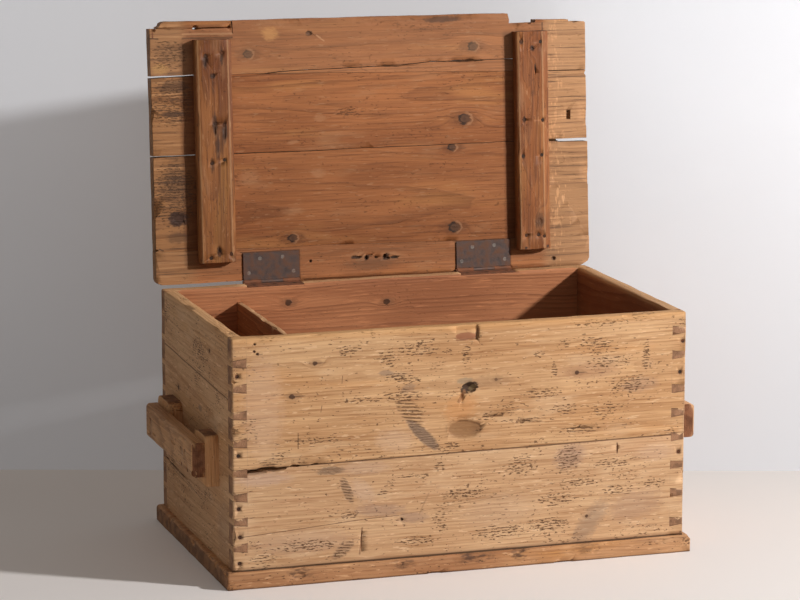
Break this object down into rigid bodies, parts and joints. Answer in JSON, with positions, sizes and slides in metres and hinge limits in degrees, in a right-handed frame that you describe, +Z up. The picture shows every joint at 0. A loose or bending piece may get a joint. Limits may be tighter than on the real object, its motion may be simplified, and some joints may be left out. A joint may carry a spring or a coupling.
{
  "type": "sea chest",
  "caption": "Dovetailed pine sea chest with a hinged boarded lid on sheet-iron butt hinges, wooden bar handles at the ends, a small till inside and projecting bottom boards.",
  "frame": {"origin": "middle of the underside of the bottom boards, on the floor", "axes": "+X along the front to the right, +Y from the front to the back, +Z up"},
  "size_m": [1.006, 0.6136, 0.9962],
  "materials": {
    "weathered_pine": "scrubbed, worn, pitted",
    "bottom_pine": "worn, stained",
    "inside_pine": "unfinished, aged brown",
    "lid_pine": "unfinished, aged brown",
    "batten_pine": "planed, aged brown",
    "handle_wood": "worn smooth by hands",
    "rusty_nail": "rusted",
    "hinge_iron": "dark brown patina",
    "screw_steel": "dulled, slots worn bright"
  },
  "bodies": {
    "chest": {"front_board_upper": "weathered_pine", "front_board_lower": "weathered_pine", "back_board_upper": "weathered_pine", "back_board_lower": "weathered_pine", "left_end_board_upper": "weathered_pine", "left_end_board_lower": "weathered_pine", "right_end_board_upper": "weathered_pine", "right_end_board_lower": "weathered_pine", "bottom_board_front": "bottom_pine", "bottom_board_middle": "bottom_pine", "bottom_board_back": "bottom_pine", "till_partition": "inside_pine", "till_bottom": "inside_pine", "left_handle_bar": "handle_wood", "left_handle_block_front": "handle_wood", "left_handle_block_back": "handle_wood", "right_handle_bar": "handle_wood", "right_handle_block_front": "handle_wood", "right_handle_block_back": "handle_wood", "front_corner_nails": "rusty_nail", "back_corner_nails": "rusty_nail", "bottom_board_nails": "rusty_nail", "left_handle_nails": "rusty_nail", "right_handle_nails": "rusty_nail", "left_hinge_lower_leaf": "hinge_iron", "right_hinge_lower_leaf": "hinge_iron", "left_hinge_pin": "hinge_iron", "right_hinge_pin": "hinge_iron", "hinge_lower_screws": "screw_steel"},
    "lid": {"lid_board_front": "lid_pine", "lid_board_upper_middle": "lid_pine", "lid_board_lower_middle": "lid_pine", "lid_board_back": "lid_pine", "lid_edge_strip_left": "lid_pine", "lid_edge_strip_right": "lid_pine", "lid_batten_left": "batten_pine", "lid_batten_right": "batten_pine", "lid_edge_nails": "rusty_nail", "lid_batten_nails": "rusty_nail", "left_hinge_upper_leaf": "hinge_iron", "right_hinge_upper_leaf": "hinge_iron", "hinge_upper_screws": "screw_steel"}
  },
  "joints": [
    {"name": "lid_hinge", "type": "hinge", "parent": "chest", "child": "lid", "pos_m": [0, 0.2706, 0.474], "axis": [1, 0, 0], "range_deg": [0, 94.3]}
  ]
}
